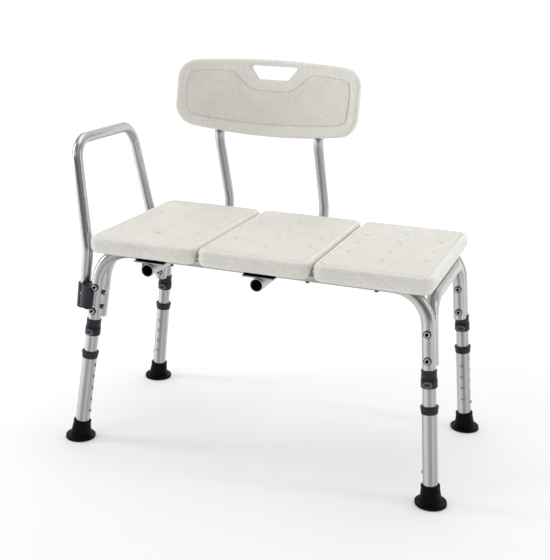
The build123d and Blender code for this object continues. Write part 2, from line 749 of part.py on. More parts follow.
BACK_WALL = 2.8
BOSS_R = POST_R + 3.5
BOSS_SEAT = BOSS_R - 1.0
SLAB_LOW, SLAB_HIGH = up_face(560), up_face(800)

with BuildPart() as back_cavity:
    add(curved_slab(BACK_WALL, BACK_THICK - 2 * BACK_WALL, SLAB_HIGH, SLAB_LOW))
    add(through(back_outline(9)), mode=Mode.INTERSECT)
    add(through(handle_slot(7)), mode=Mode.SUBTRACT)
    add(post_rods(BOSS_R, 570, 710), mode=Mode.SUBTRACT)

# rounded ribs down the back, where the posts go in
with BuildPart() as bosses:
    add(post_rods(BOSS_R, 570, POST_TIP_Z - 4, domed=True))
    add(curved_slab(12, 60, SLAB_HIGH, SLAB_LOW), mode=Mode.INTERSECT)
    add(through(back_outline(5)), mode=Mode.INTERSECT)

with BuildPart() as backrest:
    add(curved_slab(0, BACK_THICK, SLAB_HIGH, SLAB_LOW))
    add(through(back_outline(0)), mode=Mode.INTERSECT)
    fillet(backrest.edges().filter_by(lambda edge: edge.length > 1), 8)
    add(through(handle_slot(0)), mode=Mode.SUBTRACT)
    add(bosses.part)
    add(back_cavity.part, mode=Mode.SUBTRACT)
    add(post_rods(POST_R + FIT_GAP, 570, POST_TIP_Z + 1), mode=Mode.SUBTRACT)
    for x in RECEIVER_CENTRES.values():
        screw = back_screw_plane(x)
        drill(screw, SCREW_R, -20, 1 - POST_R)
        drill(screw, SCREW_HEAD_R + 0.6, -30, -BOSS_SEAT)
save(backrest.part, "backrest_panel")

back_screws = [
    pan_screw(back_screw_plane(x).offset(-BOSS_SEAT), 8) for x in RECEIVER_CENTRES.values()
]
save(Compound(children=back_screws), "backrest_screws")
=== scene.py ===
"""Looks for the bath transfer bench: moulded seat and backrest, satin tubes, dark fittings, boots."""

from math import atan, atan2, cos, pi, radians, sin, sqrt, tan

import bpy
import numpy as np
from mathutils import Matrix, Vector


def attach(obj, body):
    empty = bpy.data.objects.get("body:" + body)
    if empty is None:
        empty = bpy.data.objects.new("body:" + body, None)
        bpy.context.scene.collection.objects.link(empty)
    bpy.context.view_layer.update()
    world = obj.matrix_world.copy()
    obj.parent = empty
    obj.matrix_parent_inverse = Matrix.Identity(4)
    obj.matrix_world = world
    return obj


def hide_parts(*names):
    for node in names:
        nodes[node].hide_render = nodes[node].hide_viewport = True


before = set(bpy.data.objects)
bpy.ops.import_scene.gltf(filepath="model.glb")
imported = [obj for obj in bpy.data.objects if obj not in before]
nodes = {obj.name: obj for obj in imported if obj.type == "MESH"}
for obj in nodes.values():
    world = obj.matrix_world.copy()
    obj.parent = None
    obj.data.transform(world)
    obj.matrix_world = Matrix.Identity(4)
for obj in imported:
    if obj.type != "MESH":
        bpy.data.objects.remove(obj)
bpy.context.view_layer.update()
scene = bpy.context.scene

# ---------------------------------------------------------------- materials


class Shader:
    """A small helper that adds and links the nodes of one material."""

    def __init__(self, name):
        self.material = bpy.data.materials.new(name)
        self.material.use_nodes = True
        self.tree = self.material.node_tree
        self.surface = self.tree.nodes["Principled BSDF"]
        self.coords = self.tree.nodes.new("ShaderNodeTexCoord").outputs["Object"]

    def link(self, source, target):
        self.tree.links.new(source, target)

    def add(self, kind, **settings):
        node = self.tree.nodes.new("ShaderNode" + kind)
        for key, value in settings.items():
            setattr(node, key, value)
        return node

    def stretch(self, scale, rotation=(0, 0, 0)):
        node = self.add("Mapping")
        node.inputs["Scale"].default_value = scale
        node.inputs["Rotation"].default_value = rotation
        self.link(self.coords, node.inputs["Vector"])
        return node.outputs["Vector"]

    def noise(self, scale, detail=3.0, roughness=0.5, vector=None):
        node = self.add("TexNoise")
        node.inputs["Scale"].default_value = scale
        node.inputs["Detail"].default_value = detail
        node.inputs["Roughness"].default_value = roughness
        self.link(vector or self.coords, node.inputs["Vector"])
        return node.outputs["Fac"]

    def cells(self, scale, feature="F1", vector=None):
        node = self.add("TexVoronoi", feature=feature)
        node.inputs["Scale"].default_value = scale
        self.link(vector or self.coords, node.inputs["Vector"])
        return node.outputs["Distance"]

    def span(self, value, low, high, start=0.0, end=1.0):
        node = self.add("MapRange")
        self.link(value, node.inputs["Value"])
        for key, number in (("From Min", start), ("From Max", end), ("To Min", low), ("To Max", high)):
            node.inputs[key].default_value = number
        return node.outputs["Result"]

    def maths(self, operation, first, second):
        node = self.add("Math", operation=operation)
        for socket, value in zip(node.inputs, (first, second)):
            if isinstance(value, (int, float)):
                socket.default_value = value
            else:
                self.link(value, socket)
        return node.outputs["Value"]

    def blend(self, factor, first, second):
        """Mixes two plain colours by a varying factor."""
        node = self.add("ValToRGB")
        node.color_ramp.elements[0].color = (*first, 1)
        node.color_ramp.elements[1].color = (*second, 1)
        self.link(factor, node.inputs["Fac"])
        return node.outputs["Color"]

    def tones(self, factor, stops):
        """A colour ramp with several stops."""
        node = self.add("ValToRGB")
        ramp = node.color_ramp.elements
        while len(ramp) < len(stops):
            ramp.new(0.5)
        for element, (at, colour) in zip(ramp, stops):
            element.position = at
            element.color = (*colour, 1)
        self.link(factor, node.inputs["Fac"])
        return node.outputs["Color"]

    def bump(self, height, distance, strength=1.0, normal=None):
        node = self.add("Bump")
        node.inputs["Distance"].default_value = distance
        node.inputs["Strength"].default_value = strength
        self.link(height, node.inputs["Height"])
        if normal:
            self.link(normal, node.inputs["Normal"])
        return node.outputs["Normal"]

    def set(self, **values):
        for key, value in values.items():
            socket = self.surface.inputs[key.replace("_", " ")]
            if isinstance(value, bpy.types.NodeSocket):
                self.link(value, socket)
            else:
                socket.default_value = (*value, 1) if isinstance(value, tuple) else value
        return self.material


# painted reflections on a tube: bands of lighter and darker base colour, set by the way the surface faces,
# stand for the studio's reflections; where they lie across it, and how light each one is
REFLECTION_ACROSS = (0.945, 0.327, 0.04)
PAINTED_REFLECTION_BANDS = [
    (0.02, 0.42), (0.15, 0.66), (0.26, 0.56), (0.38, 0.33), (0.46, 0.29),
    (0.56, 0.38), (0.65, 0.52), (0.79, 0.34), (0.88, 0.48), (0.98, 0.52),
]


def moulded_plastic(name, dark, light, rough, grain):
    """Blow-moulded polyethylene: clouded colour, leather grain in two sizes, fine pores; the smoother
    places are painted lighter, a painted highlight.
    """
    s = Shader(name)
    cloud = s.noise(14.0, 4.0, 0.55)
    speck = s.noise(300.0, 2.0, 0.7)
    grain_and_highlight_mask = s.add("Attribute", attribute_name="grain").outputs["Fac"]
    tone = s.maths("ADD", s.maths("MULTIPLY", cloud, 0.25), s.maths("MULTIPLY", speck, 0.75))
    # painted highlight: where the grain mask is low (rims, rolled edges, dimples) the colour is lighter
    tone = s.maths("ADD", tone, s.span(grain_and_highlight_mask, 0.12, 0.0))
    warped = s.stretch((1.0, 1.35, 1.35), (0.0, radians(38), 0.0))
    leather = s.cells(230.0, "F1", warped)
    fine = s.noise(480.0, 3.0, 0.65)
    height = s.maths("ADD", s.maths("MULTIPLY", leather, 0.8), s.maths("MULTIPLY", fine, 0.7))
    height = s.maths("MULTIPLY", height, s.span(grain_and_highlight_mask, 0.12, 1.0))
    gloss = s.maths("MULTIPLY", s.span(s.noise(60.0, 3.0), 0.9, 1.1), s.span(grain_and_highlight_mask, rough - 0.16, rough))
    swell = s.bump(s.noise(22.0, 2.0), 0.0012, 0.3)
    return s.set(
        Base_Color=s.blend(s.span(tone, 0, 1, 0.32, 0.68), dark, light),
        Roughness=gloss,
        Normal=s.bump(height, grain, 0.9, swell),
        Subsurface_Weight=0.04,
        Subsurface_Scale=0.004,
    )


def satin_metal(name, level, low, high):
    """Anodised tube: the base colour is painted reflection, bands set by the surface's direction; these
    bands and the drawing lines run along it, since both follow the surface's direction.
    """
    s = Shader(name)
    facing = s.add("TexCoord").outputs["Normal"]
    turn = s.add("VectorMath", operation="DOT_PRODUCT")
    s.link(facing, turn.inputs[0])
    turn.inputs[1].default_value = REFLECTION_ACROSS
    lines = s.noise(24.0, 3.0, 0.6, facing)
    blast = s.noise(1300.0, 2.0, 0.6)
    cloud = s.noise(9.0, 2.0, 0.5)
    reflection_wobble = s.maths("MULTIPLY", s.maths("SUBTRACT", lines, 0.5), 0.22)
    place = s.maths("ADD", s.span(turn.outputs["Value"], 0.0, 1.0, -1.0, 1.0), reflection_wobble)
    gloss = s.maths("ADD", s.maths("MULTIPLY", cloud, 0.6), s.maths("MULTIPLY", blast, 0.4))
    ridges = s.bump(lines, 0.00003, 0.5)
    return s.set(
        # painted reflection: light and dark bands of base colour by facing, not the metal's own tone
        Base_Color=s.tones(place, [(at, (tone * level,) * 3) for at, tone in PAINTED_REFLECTION_BANDS]),
        Metallic=1.0,
        Roughness=s.span(gloss, low, high, 0.3, 0.7),
        Normal=s.bump(blast, 0.000025, 0.5, ridges),
    )


def hard_polymer(name, dark, light, rough, grain, size, shine=0.3):
    """Injection-moulded polymer or rubber: spark-eroded grain and a slightly uneven sheen."""
    s = Shader(name)
    grit = s.noise(size, 3.0, 0.65)
    cloud = s.noise(45.0, 3.0, 0.5)
    tone = s.maths("ADD", s.maths("MULTIPLY", grit, 0.35), s.maths("MULTIPLY", cloud, 0.65))
    return s.set(
        Base_Color=s.blend(s.span(tone, 0, 1, 0.35, 0.65), dark, light),
        Roughness=s.span(tone, rough - 0.07, rough + 0.07, 0.35, 0.65),
        Specular_IOR_Level=shine,
        Normal=s.bump(grit, grain, 0.7),
    )


def plated_metal(name, dark, light, rough):
    s = Shader(name)
    cloud = s.noise(180.0, 4.0, 0.6)
    return s.set(
        Base_Color=s.blend(s.span(cloud, 0, 1, 0.3, 0.7), dark, light),
        Metallic=1.0,
        Roughness=s.span(cloud, rough - 0.06, rough + 0.08, 0.3, 0.7),
        Normal=s.bump(s.noise(900.0, 3.0), 0.00002, 0.5),
    )


ivory = moulded_plastic("seat_ivory", (0.665, 0.647, 0.590), (0.855, 0.84, 0.78), 0.58, 0.001)
alloy = satin_metal("satin_aluminium", 1.0, 0.22, 0.30)
alloy_along = satin_metal("satin_rail", 0.9, 0.27, 0.35)
FINE_GRIT, COARSE_GRIT = 1500, 1100
SLATE, SLATE_LIGHT = (0.008, 0.0105, 0.017), (0.018, 0.022, 0.032)
BUTTON, BUTTON_LIGHT = (0.016, 0.020, 0.030), (0.028, 0.034, 0.046)
RUBBER, RUBBER_LIGHT = (0.0012, 0.0012, 0.0012), (0.003, 0.003, 0.003)
slate = hard_polymer("slate_fitting", SLATE, SLATE_LIGHT, 0.40, 0.00006, FINE_GRIT, 0.25)
button_plastic = hard_polymer("slate_button", BUTTON, BUTTON_LIGHT, 0.34, 0.00004, FINE_GRIT, 0.35)
rubber = hard_polymer("boot_rubber", RUBBER, RUBBER_LIGHT, 0.5, 0.00008, COARSE_GRIT, 0.09)
brass = plated_metal("pin_brass", (0.38, 0.27, 0.12), (0.55, 0.41, 0.20), 0.34)
chrome = plated_metal("washer_nickel", (0.42, 0.41, 0.40), (0.62, 0.61, 0.60), 0.22)
# pale slate: a painted highlight on the raised ovals round the release buttons
HIGHLIGHT_SLATE, HIGHLIGHT_SLATE_LIGHT = (0.20, 0.21, 0.235), (0.28, 0.29, 0.31)
SHADE, SHADE_LIGHT = (0.004, 0.004, 0.004), (0.008, 0.008, 0.008)
pad_rim_highlight = hard_polymer("slate_painted_highlight", HIGHLIGHT_SLATE, HIGHLIGHT_SLATE_LIGHT, 0.40, 0.00004, FINE_GRIT, 0.4)
socket_shade_disc = hard_polymer("socket_shade", SHADE, SHADE_LIGHT, 0.6, 0.00004, FINE_GRIT, 0.1)
# dark metal for the holes' walls: painted shade inside the holes
hole_wall_shade = plated_metal("hole_wall_shade", (0.10, 0.10, 0.10), (0.18, 0.18, 0.18), 0.42)
# dark steel for washers, nuts and screws; on the washers the darkness is painted shade for the shadowed
# dish round each bolt head
dark_steel_and_washer_shade = plated_metal("washer_shade_steel", (0.045, 0.043, 0.042), (0.10, 0.098, 0.095), 0.30)


def finish_for(name):
    if "panel" in name:
        return ivory
    if name.endswith("_boot"):
        return rubber
    if name.endswith("_clip"):
        return brass
    if name.endswith("release_button"):
        return button_plastic
    if name.endswith(("_ring", "_collar", "_bracket")) or name == "leg_sleeves":
        return slate
    if name.endswith("bolts"):
        return chrome
    # washers: dark steel as painted shade round the bolt heads; nuts and screws take the same dark steel
    if name.endswith(("washers", "nuts", "screws")):
        return dark_steel_and_washer_shade
    if name.endswith("_receiver"):
        return alloy_along
    return alloy


for name, piece in nodes.items():
    piece.data.materials.clear()
    piece.data.materials.append(finish_for(name))

# ---------------------------------------------------------------- mesh tools, in millimetres

MM = 0.001


def piece(name, points, faces, finish, body, slot, *replaced, grain=None, crease=40):
    """A mesh object from points in millimetres, smooth-shaded except over sharp angles."""
    mesh = bpy.data.meshes.new(name)
    mesh.from_pydata([tuple(p) for p in np.asarray(points) * MM], [], [tuple(f) for f in faces])
    if grain is not None:
        grain_and_highlight_mask = mesh.attributes.new("grain", "FLOAT", "POINT")
        grain_and_highlight_mask.data.foreach_set("value", np.asarray(grain, dtype=np.float32))
    mesh.validate()
    mesh.shade_smooth()
    mesh.set_sharp_from_angle(angle=radians(crease))
    mesh.materials.append(finish)
    obj = bpy.data.objects.new(name, mesh)
    scene.collection.objects.link(obj)
    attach(obj, body)
    if replaced:
        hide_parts(*replaced)
    return obj


def smooth_step(value, low, high):
    t = np.clip((value - low) / (high - low), 0, 1)
    return t * t * (3 - 2 * t)


def quads(rows, columns, start=0, flip=False):
    """Faces of a grid of points stored row by row."""
    faces = []
    for r in range(rows - 1):
        for c in range(columns - 1):
            a = start + r * columns + c
            face = (a, a + 1, a + columns + 1, a + columns)
            faces.append(face[::-1] if flip else face)
    return faces


def rim_of(rows, columns):
    """Point numbers round the edge of a grid, anticlockwise."""
    low = [c for c in range(columns)]
    east = [r * columns + columns - 1 for r in range(1, rows)]
    high = [(rows - 1) * columns + c for c in range(columns - 2, -1, -1)]
    west = [r * columns for r in range(rows - 2, 0, -1)]
    return low + east + high + west


def outward(loop):
    """Unit normals of a closed anticlockwise loop of flat points."""
    along = np.roll(loop, -1, axis=0) - np.roll(loop, 1, axis=0)
    normal = np.stack([along[:, 1], -along[:, 0]], axis=1)
    return normal / np.linalg.norm(normal, axis=1, keepdims=True)


def band(first, second, flip=False):
    """Faces between two closed loops of point numbers."""
    faces = []
    count = len(first)
    for i in range(count):
        j = (i + 1) % count
        face = (first[i], first[j], second[j], second[i])
        faces.append(face[::-1] if flip else face)
    return faces


def marks(low, high, coarse, fine, centres, reach):
    """Grid positions from low to high, closer together around the centres."""
    values = [low]
    while values[-1] < high - 1e-6:
        here = values[-1]
        near = any(c - reach <= here < c + reach for c in centres)
        step = fine if near else coarse
        stops = [c - reach for c in centres if here < c - reach - 1e-6 < here + step]
        values.append(min([here + step, high] + stops))
    return values


# ---------------------------------------------------------------- seat panels

PANEL_W, PANEL_D, PANEL_CORNER = 224.0, 384.0, 20.0
PANEL_LOW, SEAT_TOP = 402.0, 436.2
RAIL_X, RAIL_Y, RAIL_Z, CHANNEL_R = 330.0, 164.0, 407.0, 13.0
DRAIN_PITCH, DRAIN_SPREAD, DIMPLE_R, DIMPLE_DEPTH = 72, 76, 10.0, 3.4
# the panel's section from the field's edge, over the rim and down to the underside: inset, height
RIM_SECTION = [
    (12.8, 436.2), (12.0, 436.1), (11.4, 435.6), (10.9, 434.6), (10.3, 434.0), (9.6, 434.1),
    (9.1, 434.9), (8.6, 435.6), (7.9, 435.9), (6.6, 435.85), (5.0, 435.4), (3.6, 434.6), (2.3, 433.4),
    (1.3, 431.9), (0.6, 430.2), (0.2, 428.4), (0.05, 426.5), (0.0, 421.0), (0.05, 415.0), (0.4, 411.6),
    (1.3, 408.4), (2.8, 405.7), (4.8, 403.7), (7.4, 402.5), (10.4, 402.05), (12.5, 402.0),
]


def panel_grid(xs, ys, inset):
    """Grid points of a rounded rectangle: rows are squeezed inwards past the corners' centres."""
    half_w, half_d, corner = PANEL_W / 2 - inset, PANEL_D / 2 - inset, PANEL_CORNER - inset
    corner = max(corner, 5.0)
    straight = half_d - corner
    turn = [straight + corner * sin(radians(a)) for a in (15, 30, 45, 60, 75, 90)]
    rows = [-y for y in turn[::-1]] + [y * straight / max(ys) for y in ys] + turn
    points = []
    for y in rows:
        past = max(abs(y) - straight, 0)
        width = half_w - corner + sqrt(max(corner * corner - past * past, 0))
        points += [(x / max(xs) * width, y) for x in xs]
    return np.array(points), len(rows), len(xs)


def seat_panel(name, centre_x):
    drains = [(0, (row - 1.5) * DRAIN_PITCH) for row in range(4)]
    drains += [(side * DRAIN_SPREAD, row * DRAIN_PITCH) for side in (-1, 1) for row in (-1, 0, 1)]
    columns = marks(-100.0, 100.0, 6.0, 1.0, [-76, 0, 76], 11)
    lines = marks(-170.0, 170.0, 6.0, 1.0, [-164, -108, -72, -36, 0, 36, 72, 108, 164], 11)
    flat, rows, cols = panel_grid(columns, lines, RIM_SECTION[0][0])
    x, y = flat[:, 0], flat[:, 1]
    height = np.full(len(flat), SEAT_TOP)
    under_hole = np.zeros(len(flat))
    dished = np.zeros(len(flat))
    for dx, dy in drains:
        away = np.hypot(x - dx, y - dy)
        height -= DIMPLE_DEPTH * (0.5 + 0.5 * np.cos(pi * np.clip(away / DIMPLE_R, 0, 1)))
        height -= 9.0 * smooth_step(-away, -2.7, -1.8)
        under_hole += 12.0 * smooth_step(-away, -3.2, -2.3)
        dished = np.maximum(dished, smooth_step(-away, -9.5, -6.5))
    points = [np.column_stack([x, y, height])]
    faces = quads(rows, cols)
    # the dimples' lower mask makes them smoother and paints them lighter, a painted highlight
    grain = [1.0 - 0.3 * dished]
    edge = rim_of(rows, cols)
    border, count = flat[edge], len(flat)
    normals = outward(border)
    previous = edge
    for inset, level in RIM_SECTION[1:]:
        ring = border + normals * (RIM_SECTION[0][0] - inset)
        points.append(np.column_stack([ring, np.full(len(ring), level)]))
        # the rim's top is nearly smooth and painted lighter, a painted highlight
        grain.append(np.full(len(ring), 0.05 if level > 430 else 0.6))
        current = list(range(count, count + len(ring)))
        faces += band(previous, current, flip=True)
        previous, count = current, count + len(ring)
    # the underside, with the channels that the rails lie in
    ring = border + normals * (RIM_SECTION[0][0] - RIM_SECTION[-1][0])
    scale = (PANEL_W / 2 - RIM_SECTION[-1][0]) / (PANEL_W / 2 - RIM_SECTION[0][0])
    low = flat * [scale, (PANEL_D / 2 - RIM_SECTION[-1][0]) / (PANEL_D / 2 - RIM_SECTION[0][0])]
    low[edge] = ring
    beside = np.abs(np.abs(low[:, 1]) - RAIL_Y)
    roof = RAIL_Z + np.sqrt(np.clip(CHANNEL_R ** 2 - beside ** 2, 0, None))
    reached = np.abs(low[:, 0] + centre_x) < RAIL_X - 12
    bottom = np.where((beside < CHANNEL_R) & reached, roof, PANEL_LOW + under_hole)
    bottom[edge] = PANEL_LOW
    points.append(np.column_stack([low, bottom]))
    grain.append(np.full(len(low), 0.6))
    inner = [count + i for i in edge]
    faces += band(previous, inner, flip=True)
    faces += quads(rows, cols, count, flip=True)
    cloud = np.vstack(points) + [centre_x, 0, 0]
    replaced = name.replace("_skin", "")
    return piece(name, cloud, faces, ivory, "frame", "seat_plastic", replaced, grain=np.concatenate(grain))


for side, centre_x in (("left", -230.0), ("middle", 0.0), ("right", 230.0)):
    seat_panel(f"{side}_seat_panel_skin", centre_x)

# ---------------------------------------------------------------- backrest

BACK_X, BACK_Y, BACK_Z = -103.0, 183.0, 650.0
BACK_RADIUS, BACK_THICK, BACK_LEAN = 452.0, 24.0, atan(0.175)
EDGE_R, LIP_R = 8.0, 4.5
POST_SPREAD, BOSS_R, BOSS_DEPTH = 113.0, 14.6, 14.4


def up_face(z):
    return (z - BACK_Z) / cos(BACK_LEAN)


def on_back(s, h, depth):
    """Points of the backrest from places on its front plane and depths behind its front."""
    towards = BACK_RADIUS - np.sqrt((BACK_RADIUS + depth) ** 2 - s ** 2)
    y = BACK_Y + h * sin(BACK_LEAN) - towards * cos(BACK_LEAN)
    z = BACK_Z + h * cos(BACK_LEAN) + towards * sin(BACK_LEAN)
    return np.column_stack([BACK_X + s, y, z])


def back_edges(s, inset):
    """The lowest and highest place of the outline at a distance from the centre line."""
    half, corner = 204.0 - inset, 44.0 - inset
    low, high = up_face(600.0) + inset, up_face(762.5) - inset
    ends = []
    for base, rise, sign in ((low, 15.5, 1), (high, 14.5, -1)):
        arch = (half * half + rise * rise) / (2 * rise)
        middle = half - corner
        centre = arch - sqrt((arch - corner) ** 2 - middle ** 2)
        touch = middle * arch / (arch - corner)
        if abs(s) <= touch:
            reach = arch - sqrt(arch * arch - s * s)
        else:
            reach = centre - sqrt(max(corner ** 2 - (abs(s) - middle) ** 2, 0))
        ends.append(base + sign * reach)
    return ends


def rounded(corners, passes=4):
    """Cuts a closed outline's corners again and again, which rounds them."""
    loop = np.array(corners, dtype=float)
    for _ in range(passes):
        following = np.roll(loop, -1, axis=0)
        loop = np.column_stack([loop * 0.75 + following * 0.25, loop * 0.25 + following * 0.75])
        loop = loop.reshape(-1, 2)
    return loop


def slot_outline(grow):
    """The carrying slot's half outline on the face: (distance, height) from bottom to top."""
    top, bottom, radius = up_face(747.5) + grow, up_face(720.5) - grow, 5.0 + 0.6 * grow
    wide, narrow = 56.5 + grow * 1.5, 32.0 + grow * 0.55
    slope = atan2(top - bottom, wide - narrow)
    points = []
    # lower corner: from straight down to square to the slanted side
    turn = slope
    reach = radius * tan(turn / 2)
    cx, cy = narrow - reach, bottom + radius
    for i in range(7):
        a = -pi / 2 + turn * i / 6
        points.append((cx + radius * cos(a), cy + radius * sin(a)))
    turn = pi - slope
    reach = radius * tan(turn / 2)
    cx, cy = wide - reach, top - radius
    for i in range(11):
        a = -pi / 2 + slope + turn * i / 10
        points.append((cx + radius * cos(a), cy + radius * sin(a)))
    return points


def distance_to(loop, s, h):
    """Distance of each point from a closed outline, and whether it is inside it."""
    best = np.full(len(s), 1e9)
    inside = np.zeros(len(s), dtype=bool)
    for (ax, ay), (bx, by) in zip(loop, np.roll(loop, -1, axis=0)):
        length = max((bx - ax) ** 2 + (by - ay) ** 2, 1e-9)
        t = np.clip(((s - ax) * (bx - ax) + (h - ay) * (by - ay)) / length, 0, 1)
        best = np.minimum(best, np.hypot(s - ax - t * (bx - ax), h - ay - t * (by - ay)))
        crosses = (ay > h) != (by > h)
        if abs(by - ay) > 1e-9:
            inside ^= crosses & (s < (bx - ax) * (h - ay) / (by - ay) + ax)
    return best, inside


# one half of the panelled field: distances from the middle, and heights
half_line = [(34, 694.5), (48, 699), (62, 709), (84, 728), (98, 733.5), (170, 726.5)]
half_line += [(182, 719), (182, 648), (172, 635.5)]
half_line += [(s, 626 + 8.5 * (s / 172) ** 2) for s in (140, 100, 60, 20)]
outline = [(s, up_face(z)) for s, z in half_line]
groove = rounded(outline + [(-s, h) for s, h in outline[::-1]])

slot = slot_outline(LIP_R)
slot_end = max(p[0] for p in slot)
slot_end_h = [p[1] for p in slot if p[0] == slot_end][0]
turning = [i for i, p in enumerate(slot) if p[0] == slot_end][0]
lower_s, lower_h = zip(*([(0.0, slot[0][1])] + slot[: turning + 1]))
upper_s, upper_h = zip(*([(0.0, slot[-1][1])] + slot[: turning - 1 : -1]))

half_width = 204.0 - EDGE_R
bend_from = half_width - (44.0 - EDGE_R)
halves = [i * 1.3 for i in range(int(slot_end / 1.3))]
halves = [v for v in halves if v < slot_end - 0.8]
halves += [slot_end - 0.45, slot_end - 0.12, slot_end]
halves += list(np.linspace(slot_end + 1.2, bend_from, 84))
halves += [bend_from + (half_width - bend_from) * sin(radians(a)) for a in range(3, 91, 3)]
columns = [-v for v in halves[:0:-1]] + halves
end_low, end_high = back_edges(slot_end, EDGE_R)
share = (slot_end_h - end_low) / (end_high - end_low)
low_steps = list(np.linspace(0, 1, 100))
high_steps = list(np.linspace(0, 1, 14))

low_part, high_part = [], []
for s in columns:
    low, high = back_edges(s, EDGE_R)
    if abs(s) <= slot_end:
        below = float(np.interp(abs(s), lower_s, lower_h))
        above = float(np.interp(abs(s), upper_s, upper_h))
    else:
        below = above = low + share * (high - low)
    low_part.append([(s, low + t * (below - low)) for t in low_steps])
    high_part.append([(s, above + t * (high - above)) for t in high_steps])
wide = len(columns)
lows = np.array(low_part).transpose(1, 0, 2).reshape(-1, 2)
highs = np.array(high_part).transpose(1, 0, 2).reshape(-1, 2)
low_rows, high_rows = len(low_steps), len(high_steps)

# the two parts share one line of points outside the slot
share_from = (low_rows - 1) * wide
renumber = {}
kept = []
for c in range(wide):
    if abs(columns[c]) >= slot_end - 1e-9:
        renumber[c] = share_from + c
for i in range(len(highs)):
    if i not in renumber:
        renumber[i] = len(lows) + len(kept)
        kept.append(i)
flat = np.vstack([lows, highs[kept]])
sheet_faces = quads(low_rows, wide)
sheet_faces += [tuple(renumber[i] for i in face) for face in quads(high_rows, wide)]

bottom_line = list(range(wide))
right_line = [r * wide + wide - 1 for r in range(1, low_rows)] + [
    renumber[r * wide + wide - 1] for r in range(1, high_rows)
]
top_line = [renumber[(high_rows - 1) * wide + c] for c in range(wide - 2, -1, -1)]
left_line = [renumber[r * wide] for r in range(high_rows - 2, 0, -1)]
left_line += [r * wide for r in range(low_rows - 1, 0, -1)]
outer = bottom_line + right_line + top_line + left_line
first = [c for c in range(wide) if abs(columns[c]) <= slot_end + 1e-9]
slot_loop = [share_from + c for c in first] + [renumber[c] for c in first[-2:0:-1]]

s, h = flat[:, 0], flat[:, 1]
away, inside = distance_to(groove, s, h)
front_depth = 1.6 * (1 - smooth_step(away, 0.5, 2.4)) - 1.4 * np.where(inside, smooth_step(away, 0, 2.6), 0)
# outside the groove and on the rolled edges the lower mask paints the plastic lighter, the same painted
# highlight
front_grain_and_highlight = np.where(inside, 1.0, 0.45)
back_depth = np.full(len(flat), BACK_THICK)
for post in (-POST_SPREAD, POST_SPREAD):
    beside = np.abs(s - post)
    past = np.clip(h - up_face(686.0), 0, None)
    radial = np.hypot(beside, past)
    bulge = BOSS_DEPTH + np.sqrt(np.clip(BOSS_R ** 2 - radial ** 2, 0, None))
    near = np.hypot(beside, h - up_face(645.0))
    bulge = np.where(near < 4.9, BOSS_DEPTH + BOSS_R - 1.0, bulge)
    back_depth = np.maximum(back_depth, bulge)

clouds = [on_back(s, h, front_depth)]
back_faces = list(sheet_faces)
grain_and_highlight_levels = [front_grain_and_highlight]
count = len(flat)


def rolled_edge(loop, radius, sign):
    """Loops from the front sheet's edge round to the back sheet's edge."""
    global count, back_faces
    border = flat[loop]
    normals = outward(border) * sign
    previous = loop
    front = [(radius * sin(radians(a)), radius * (1 - cos(radians(a)))) for a in range(15, 91, 15)]
    # the outer edge is rolled at the back too; the slot's wall flares straight to the back
    turns = front + [(reach, BACK_THICK - depth) for reach, depth in front[::-1] if sign > 0]
    for reach, depth in turns:
        ring = border + normals * reach
        clouds.append(on_back(ring[:, 0], ring[:, 1], np.full(len(ring), depth)))
        grain_and_highlight_levels.append(np.full(len(ring), 0.3))
        current = list(range(count, count + len(ring)))
        back_faces += band(previous, current, flip=sign > 0)
        previous, count = current, count + len(ring)
    return previous


outer_end = rolled_edge(outer, EDGE_R, 1)
slot_end_ring = rolled_edge(slot_loop, LIP_R, -1)
clouds.append(on_back(s, h, back_depth))
grain_and_highlight_levels.append(np.full(len(flat), 0.6))
back_faces += [tuple(count + i for i in face[::-1]) for face in sheet_faces]
back_faces += band(outer_end, [count + i for i in outer], flip=True)
back_faces += band(slot_end_ring, [count + i for i in slot_loop], flip=False)
piece(
    "backrest_shell", np.vstack(clouds), back_faces, ivory, "backrest", "seat_plastic", "backrest_panel",
    grain=np.concatenate(grain_and_highlight_levels),
)

# ---------------------------------------------------------------- boots, collars and sleeves

LEG_LEAN = {
    "front_left": ((-371.0, -184.0), (-324.0, -164.0)),
    "front_right": ((369.0, -184.0), (330.0, -164.0)),
    "rear_left": ((-369.0, 184.0), (-330.0, 164.0)),
    "rear_right": ((369.0, 184.0), (330.0, 164.0)),
}


def leg_directions(leg):
    """A leg's foot, its axis, and its own directions along the bench and towards the back."""
    (fx, fy), (rx, ry) = LEG_LEAN[leg]
    axis = Vector((rx - fx, ry - fy, RAIL_Z)).normalized()
    along = Vector((axis.z, 0, -axis.x)).normalized()
    return Vector((fx, fy, 0)), axis, along, axis.cross(along)


def lathe(section, centre, towards, start=0, count=40):
    """Points and faces of a section of (radius, depth) turned about a line."""
    side = towards.orthogonal().normalized()
    other = towards.cross(side)
    points, faces = [], []
    for radius, depth in section:
        for k in range(count):
            a = 2 * pi * k / count
            points.append(centre + towards * depth + (side * cos(a) + other * sin(a)) * radius)
    for r in range(len(section) - 1):
        first = [start + r * count + k for k in range(count)]
        faces += band(first, [i + count for i in first])
    return points, faces


LATHE_STEPS = 72


def turned(name, leg, section, finish, body, slot, replaced, level_below=None):
    """A section of (radius, height) turned about a leg. Under level_below it turns about the upright."""
    foot, axis, _, _ = leg_directions(leg)
    points = []
    for radius, height in section:
        share = 1.0 if level_below is None else min(max((height - level_below[0]) / level_below[1], 0), 1)
        lean = Vector((0, 0, 1)).lerp(axis, share).normalized()
        side = Vector((lean.z, 0, -lean.x)).normalized()
        other = lean.cross(side)
        for k in range(LATHE_STEPS):
            a = 2 * pi * k / LATHE_STEPS
            points.append(foot + axis * height + (side * cos(a) + other * sin(a)) * radius)
    faces = []
    for r in range(len(section) - 1):
        first = [r * LATHE_STEPS + k for k in range(LATHE_STEPS)]
        faces += band(first, [i + LATHE_STEPS for i in first])
    if section[0][0] > 1:
        last = (len(section) - 1) * LATHE_STEPS
        faces += band([last + k for k in range(LATHE_STEPS)], list(range(LATHE_STEPS)))
    return piece(name, points, faces, finish, body, slot, replaced, crease=35)


